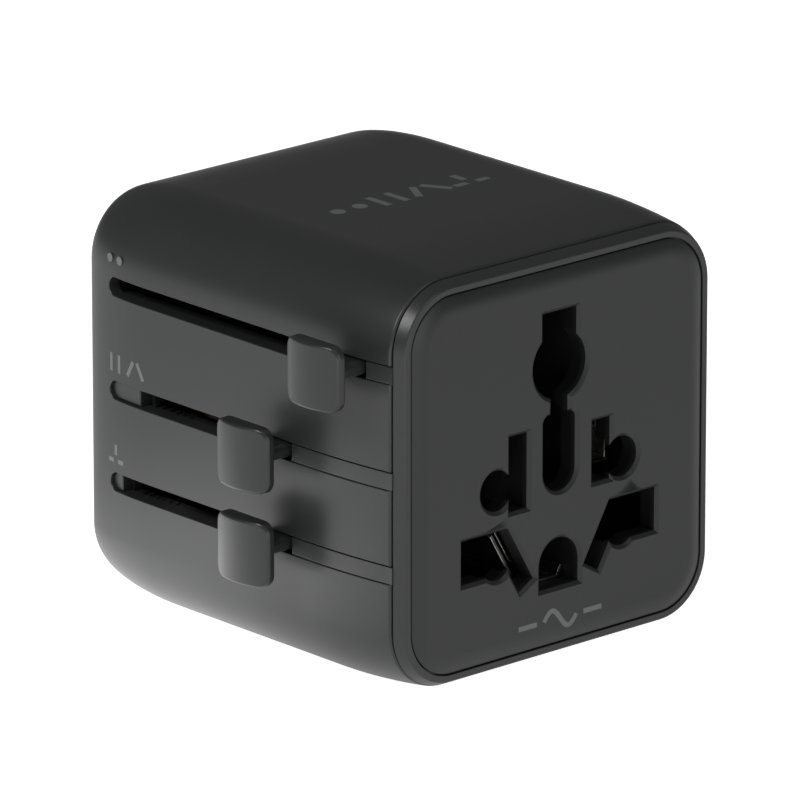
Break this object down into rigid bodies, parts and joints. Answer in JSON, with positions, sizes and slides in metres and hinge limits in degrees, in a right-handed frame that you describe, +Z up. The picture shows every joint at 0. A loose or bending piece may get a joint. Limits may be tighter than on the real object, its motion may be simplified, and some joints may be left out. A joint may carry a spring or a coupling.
{
  "type": "universal travel adapter",
  "caption": "Cube-shaped travel adapter: a multi-standard socket in front, and plug pins of other standards that side knobs slide out of the rear.",
  "frame": {"origin": "centre of the flat underside, halfway between the front ring and the rear face", "axes": "+X to the right seen from the socket side, +Y back, the way the plug pins slide out, +Z up"},
  "size_m": [0.056, 0.055, 0.05],
  "materials": {
    "shell_plastic": "charcoal moulded plastic with a fine satin grain",
    "face_plastic": "charcoal moulded plastic, a little darker and flatter than the shell",
    "knob_plastic": "charcoal moulded plastic, satin",
    "inner_plastic": "black moulded inner plastic",
    "sleeve_plastic": "black insulating plastic of the sleeves and the earth pin",
    "nickel_plate": "nickel-plated brass",
    "brass_strip": "stamped brass strip",
    "screw_steel": "zinc-plated steel",
    "spring_steel": "bright drawn wire",
    "fuse_ceramic": "glazed white ceramic body"
  },
  "bodies": {
    "housing": {"body_shell": "shell_plastic", "front_collar": "shell_plastic", "socket_face": "face_plastic", "socket_insert": "inner_plastic", "inner_frame": "shell_plastic", "rear_plate": "face_plastic", "rear_screw_1": "screw_steel", "rear_screw_2": "screw_steel", "rear_screw_3": "screw_steel", "rear_screw_4": "screw_steel", "neutral_contact": "nickel_plate", "live_contact": "nickel_plate", "earth_contact": "nickel_plate", "neutral_busbar": "brass_strip", "live_busbar": "brass_strip", "fuse": "fuse_ceramic", "fuse_clip_front": "brass_strip", "fuse_clip_rear": "brass_strip"},
    "eu_slider": {"eu_carriage": "inner_plastic", "eu_pin_left": "nickel_plate", "eu_pin_right": "nickel_plate", "eu_sleeve_left": "sleeve_plastic", "eu_sleeve_right": "sleeve_plastic", "eu_wiper_left": "brass_strip", "eu_wiper_right": "brass_strip", "eu_latch_spring": "spring_steel"},
    "us_slider": {"us_carriage": "inner_plastic", "us_wiper_left": "brass_strip", "us_wiper_right": "brass_strip", "us_latch_spring": "spring_steel"},
    "uk_slider": {"uk_carriage": "inner_plastic", "uk_pin_left": "nickel_plate", "uk_pin_right": "nickel_plate", "uk_sleeve_left": "sleeve_plastic", "uk_sleeve_right": "sleeve_plastic", "uk_wiper_left": "brass_strip", "uk_wiper_right": "brass_strip", "uk_earth_pin": "sleeve_plastic", "uk_latch_spring": "spring_steel"},
    "blade_left": {"us_blade_left": "nickel_plate"},
    "blade_right": {"us_blade_right": "nickel_plate"},
    "eu_button": {"eu_knob": "knob_plastic"},
    "us_button": {"us_knob": "knob_plastic"},
    "uk_button": {"uk_knob": "knob_plastic"}
  },
  "joints": [
    {"name": "eu_slide", "type": "slide", "parent": "housing", "child": "eu_slider", "axis": [0, 1, 0], "range_m": [0, 0.0386]},
    {"name": "us_slide", "type": "slide", "parent": "housing", "child": "us_slider", "axis": [0, 1, 0], "range_m": [0, 0.0207]},
    {"name": "uk_slide", "type": "slide", "parent": "housing", "child": "uk_slider", "axis": [0, 1, 0], "range_m": [0, 0.0246]},
    {"name": "eu_press", "type": "slide", "parent": "eu_slider", "child": "eu_button", "axis": [1, 0, 0], "range_m": [0, 0.0015], "stiffness_N_per_m": 400, "deforming": ["eu_latch_spring"]},
    {"name": "us_press", "type": "slide", "parent": "us_slider", "child": "us_button", "axis": [1, 0, 0], "range_m": [0, 0.0015], "stiffness_N_per_m": 400, "deforming": ["us_latch_spring"]},
    {"name": "uk_press", "type": "slide", "parent": "uk_slider", "child": "uk_button", "axis": [1, 0, 0], "range_m": [0, 0.0015], "stiffness_N_per_m": 400, "deforming": ["uk_latch_spring"]},
    {"name": "blade_twist_left", "type": "hinge", "parent": "us_slider", "child": "blade_left", "pos_m": [-0.00635, 0, 0.0245], "axis": [0, -1, 0], "range_deg": [0, 30]},
    {"name": "blade_twist_right", "type": "hinge", "parent": "us_slider", "child": "blade_right", "pos_m": [0.00635, 0, 0.0245], "axis": [0, 1, 0], "range_deg": [0, 30]}
  ]
}
